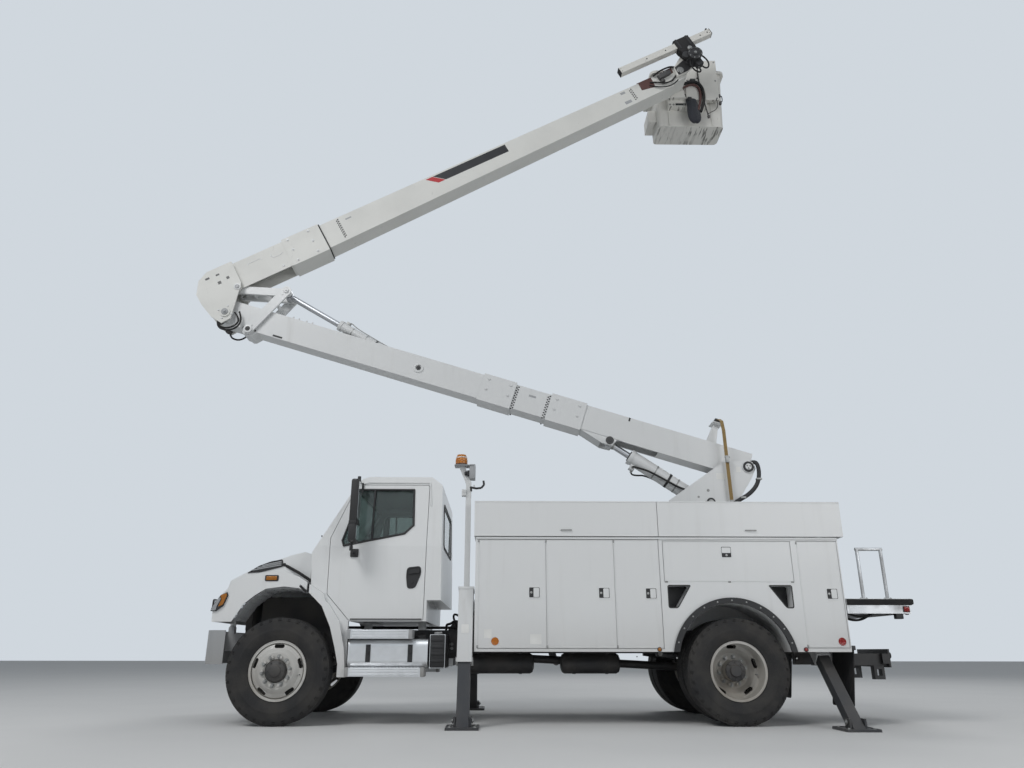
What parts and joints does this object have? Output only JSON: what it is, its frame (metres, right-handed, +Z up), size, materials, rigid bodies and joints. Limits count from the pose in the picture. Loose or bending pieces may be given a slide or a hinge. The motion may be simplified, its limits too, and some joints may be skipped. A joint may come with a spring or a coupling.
{
  "type": "bucket truck",
  "caption": "Two-axle utility truck with cab, compartment body, outriggers and an articulated boom carrying a bucket.",
  "frame": {"origin": "on the ground, midway between front and rear ends, on the centre plane", "axes": "+X toward the rear of the truck, +Y to its right side, +Z up"},
  "size_m": [8.6539, 3.49, 9.8941],
  "materials": {
    "white_paint": "satin",
    "boom_paint": "satin",
    "black_paint": "satin",
    "bumper_grey": "satin",
    "black_plastic": "matte",
    "tyre_rubber": "matte",
    "glass": "gloss",
    "seat_fabric": "matte",
    "engine_iron": "matte",
    "steel": "gloss",
    "fibreglass": "satin",
    "amber": "gloss"
  },
  "bodies": {
    "chassis": {"chassis_frame": "black_paint", "axles": "black_paint", "engine": "engine_iron", "front_bumper": "bumper_grey", "cab_shell": "white_paint", "cab_glass": "glass", "cab_interior": "black_plastic", "seats": "seat_fabric", "side_steps": "black_paint", "body_packs": "white_paint", "body_deck": "bumper_grey", "arch_flares": "black_plastic", "subframe": "boom_paint", "light_mast": "amber"},
    "hood": {"hood_shell": "white_paint", "grille_and_lamps": "black_plastic"},
    "turret": {"turret": "boom_paint"},
    "lower_boom": {"lower_boom": "boom_paint"},
    "lift_barrel": {"lift_barrel": "boom_paint"},
    "lift_rod": {"lift_rod": "steel"},
    "upper_boom": {"upper_boom": "boom_paint"},
    "rocker": {"rocker": "boom_paint"},
    "coupler": {"coupler": "boom_paint"},
    "elbow_barrel": {"elbow_barrel": "boom_paint"},
    "elbow_rod": {"elbow_rod": "steel"},
    "bucket": {"bucket": "fibreglass"},
    "jib": {"jib": "black_paint"},
    "knuckle_left": {"knuckle_left": "black_paint"},
    "wheel_front_left": {"wheel_front_left": "white_paint", "tyre_front_left": "tyre_rubber"},
    "wheels_rear_left": {"wheels_rear_left": "white_paint", "tyres_rear_left": "tyre_rubber"},
    "cab_door_left": {"cab_door_left": "white_paint", "door_glass_left": "glass"},
    "front_door_left": {"front_door_left": "white_paint"},
    "middle_door_left": {"middle_door_left": "white_paint"},
    "narrow_door_left": {"narrow_door_left": "white_paint"},
    "rear_door_left": {"rear_door_left": "white_paint"},
    "shelf_door_left": {"shelf_door_left": "white_paint"},
    "front_lid_left": {"front_lid_left": "white_paint"},
    "rear_lid_left": {"rear_lid_left": "white_paint"},
    "outrigger_front_left": {"outrigger_front_left": "boom_paint"},
    "outrigger_rear_left": {"outrigger_rear_left": "boom_paint"},
    "knuckle_right": {"knuckle_right": "black_paint"},
    "wheel_front_right": {"wheel_front_right": "white_paint", "tyre_front_right": "tyre_rubber"},
    "wheels_rear_right": {"wheels_rear_right": "white_paint", "tyres_rear_right": "tyre_rubber"},
    "cab_door_right": {"cab_door_right": "white_paint", "door_glass_right": "glass"},
    "front_door_right": {"front_door_right": "white_paint"},
    "middle_door_right": {"middle_door_right": "white_paint"},
    "narrow_door_right": {"narrow_door_right": "white_paint"},
    "rear_door_right": {"rear_door_right": "white_paint"},
    "shelf_door_right": {"shelf_door_right": "white_paint"},
    "front_lid_right": {"front_lid_right": "white_paint"},
    "rear_lid_right": {"rear_lid_right": "white_paint"},
    "outrigger_front_right": {"outrigger_front_right": "boom_paint"},
    "outrigger_rear_right": {"outrigger_rear_right": "boom_paint"}
  },
  "joints": [
    {"name": "steer_left", "type": "hinge", "parent": "chassis", "child": "knuckle_left", "pos_m": [-2.49, -0.845, 0.535], "axis": [0, 0, 1], "range_deg": [-35, 35]},
    {"name": "roll_front_left", "type": "hinge", "parent": "knuckle_left", "child": "wheel_front_left", "pos_m": [-2.49, -1.025, 0.535], "axis": [0, 1, 0], "continuous": true},
    {"name": "roll_rear_left", "type": "hinge", "parent": "chassis", "child": "wheels_rear_left", "pos_m": [2.342, -1.055, 0.535], "axis": [0, 1, 0], "continuous": true},
    {"name": "cab_door_left_swing", "type": "hinge", "parent": "chassis", "child": "cab_door_left", "pos_m": [-2.072, -1.02, 1.8], "axis": [0, 0, -1], "range_deg": [0, 65]},
    {"name": "front_door_left_swing", "type": "hinge", "parent": "chassis", "child": "front_door_left", "pos_m": [-0.4033, -1.22, 1.323], "axis": [0, 0, -1], "range_deg": [0, 110]},
    {"name": "middle_door_left_swing", "type": "hinge", "parent": "chassis", "child": "middle_door_left", "pos_m": [0.3317, -1.22, 1.323], "axis": [0, 0, -1], "range_deg": [0, 110]},
    {"name": "narrow_door_left_swing", "type": "hinge", "parent": "chassis", "child": "narrow_door_left", "pos_m": [1.0717, -1.22, 1.323], "axis": [0, 0, -1], "range_deg": [0, 110]},
    {"name": "rear_door_left_swing", "type": "hinge", "parent": "chassis", "child": "rear_door_left", "pos_m": [3.0817, -1.22, 1.3205], "axis": [0, 0, -1], "range_deg": [0, 90]},
    {"name": "shelf_door_left_drop", "type": "hinge", "parent": "chassis", "child": "shelf_door_left", "pos_m": [2.31, -1.22, 1.4417], "axis": [1, 0, 0], "range_deg": [0, 90]},
    {"name": "front_lid_left_lift", "type": "hinge", "parent": "chassis", "child": "front_lid_left", "pos_m": [0.55, -0.648, 2.304], "axis": [-1, 0, 0], "range_deg": [0, 80]},
    {"name": "rear_lid_left_lift", "type": "hinge", "parent": "chassis", "child": "rear_lid_left", "pos_m": [2.59, -0.648, 2.304], "axis": [-1, 0, 0], "range_deg": [0, 80]},
    {"name": "outrigger_front_left_slide", "type": "slide", "parent": "chassis", "child": "outrigger_front_left", "axis": [0, 0.247, 0.969], "range_m": [0, 0.48]},
    {"name": "outrigger_rear_left_slide", "type": "slide", "parent": "chassis", "child": "outrigger_rear_left", "axis": [0, 0.7071, 0.7071], "range_m": [0, 0.42]},
    {"name": "steer_right", "type": "hinge", "parent": "chassis", "child": "knuckle_right", "pos_m": [-2.49, 0.845, 0.535], "axis": [0, 0, 1], "range_deg": [-35, 35]},
    {"name": "roll_front_right", "type": "hinge", "parent": "knuckle_right", "child": "wheel_front_right", "pos_m": [-2.49, 1.025, 0.535], "axis": [0, 1, 0], "continuous": true},
    {"name": "roll_rear_right", "type": "hinge", "parent": "chassis", "child": "wheels_rear_right", "pos_m": [2.342, 1.055, 0.535], "axis": [0, 1, 0], "continuous": true},
    {"name": "cab_door_right_swing", "type": "hinge", "parent": "chassis", "child": "cab_door_right", "pos_m": [-2.072, 1.02, 1.8], "axis": [0, 0, 1], "range_deg": [0, 65]},
    {"name": "front_door_right_swing", "type": "hinge", "parent": "chassis", "child": "front_door_right", "pos_m": [-0.4033, 1.22, 1.323], "axis": [0, 0, 1], "range_deg": [0, 110]},
    {"name": "middle_door_right_swing", "type": "hinge", "parent": "chassis", "child": "middle_door_right", "pos_m": [0.3317, 1.22, 1.323], "axis": [0, 0, 1], "range_deg": [0, 110]},
    {"name": "narrow_door_right_swing", "type": "hinge", "parent": "chassis", "child": "narrow_door_right", "pos_m": [1.0717, 1.22, 1.323], "axis": [0, 0, 1], "range_deg": [0, 110]},
    {"name": "rear_door_right_swing", "type": "hinge", "parent": "chassis", "child": "rear_door_right", "pos_m": [3.0817, 1.22, 1.3205], "axis": [0, 0, 1], "range_deg": [0, 90]},
    {"name": "shelf_door_right_drop", "type": "hinge", "parent": "chassis", "child": "shelf_door_right", "pos_m": [2.31, 1.22, 1.4417], "axis": [-1, 0, 0], "range_deg": [0, 90]},
    {"name": "front_lid_right_lift", "type": "hinge", "parent": "chassis", "child": "front_lid_right", "pos_m": [0.55, 0.648, 2.304], "axis": [1, 0, 0], "range_deg": [0, 80]},
    {"name": "rear_lid_right_lift", "type": "hinge", "parent": "chassis", "child": "rear_lid_right", "pos_m": [2.59, 0.648, 2.304], "axis": [1, 0, 0], "range_deg": [0, 80]},
    {"name": "outrigger_front_right_slide", "type": "slide", "parent": "chassis", "child": "outrigger_front_right", "axis": [0, -0.247, 0.969], "range_m": [0, 0.48]},
    {"name": "outrigger_rear_right_slide", "type": "slide", "parent": "chassis", "child": "outrigger_rear_right", "axis": [0, -0.7071, 0.7071], "range_m": [0, 0.42]},
    {"name": "hood_tilt", "type": "hinge", "parent": "chassis", "child": "hood", "pos_m": [-3.26, 0, 0.985], "axis": [0, -1, 0], "range_deg": [0, 60]},
    {"name": "turret_slew", "type": "hinge", "parent": "chassis", "child": "turret", "pos_m": [2.41, 0, 2.35], "axis": [0, 0, 1], "range_deg": [-170, 170]},
    {"name": "boom_lift", "type": "hinge", "parent": "turret", "child": "lower_boom", "pos_m": [2.966, 0, 2.941], "axis": [0, 1, 0], "range_deg": [-17, 58]},
    {"name": "lift_barrel_swing", "type": "hinge", "parent": "turret", "child": "lift_barrel", "pos_m": [2.46, 0, 2.49], "axis": [0, 1, 0], "range_deg": [-17, 57]},
    {"name": "lift_rod_slide", "type": "slide", "parent": "lift_barrel", "child": "lift_rod", "axis": [-0.8313, 0, 0.5558], "range_m": [-0.195, 0.662]},
    {"name": "elbow_unfold", "type": "hinge", "parent": "lower_boom", "child": "upper_boom", "pos_m": [-3.90711, 0, 5.05544], "axis": [0, -1, 0], "range_deg": [-28, 90]},
    {"name": "rocker_swing", "type": "hinge", "parent": "lower_boom", "child": "rocker", "pos_m": [-3.58154, 0, 4.82137], "axis": [0, -1, 0], "range_deg": [-21, 54]},
    {"name": "coupler_swing", "type": "hinge", "parent": "rocker", "child": "coupler", "pos_m": [-3.12411, 0, 5.39504], "axis": [0, -1, 0], "range_deg": [-21, 9]},
    {"name": "elbow_barrel_swing", "type": "hinge", "parent": "lower_boom", "child": "elbow_barrel", "pos_m": [-1.27405, 0, 4.29249], "axis": [0, -1, 0], "range_deg": [-2, 3]},
    {"name": "elbow_rod_slide", "type": "slide", "parent": "elbow_barrel", "child": "elbow_rod", "axis": [-0.859, 0, 0.5119], "range_m": [-0.25, 0.655]},
    {"name": "bucket_level", "type": "hinge", "parent": "upper_boom", "child": "bucket", "pos_m": [2.56219, 0, 9.19383], "axis": [0, -1, 0], "range_deg": [-91, 35]},
    {"name": "jib_swing", "type": "hinge", "parent": "bucket", "child": "jib", "pos_m": [2.69925, -0.27, 9.49468], "axis": [0, -1, 0], "range_deg": [-30, 45]}
  ],
  "couplings": [
    {"joint": "steer_right", "follows": "steer_left", "ratio": 1},
    {"joint": "lift_barrel_swing", "follows": "boom_lift", "ratio": 0.9646},
    {"joint": "lift_rod_slide", "follows": "boom_lift", "m_per_rad": 0.6528},
    {"joint": "rocker_swing", "follows": "elbow_unfold", "ratio": 0.587},
    {"joint": "coupler_swing", "follows": "elbow_unfold", "ratio": -0.225},
    {"joint": "elbow_barrel_swing", "follows": "elbow_unfold", "ratio": 0.026},
    {"joint": "elbow_rod_slide", "follows": "elbow_unfold", "m_per_rad": 0.4128},
    {"joint": "bucket_level", "follows": "elbow_unfold", "ratio": -1}
  ]
}
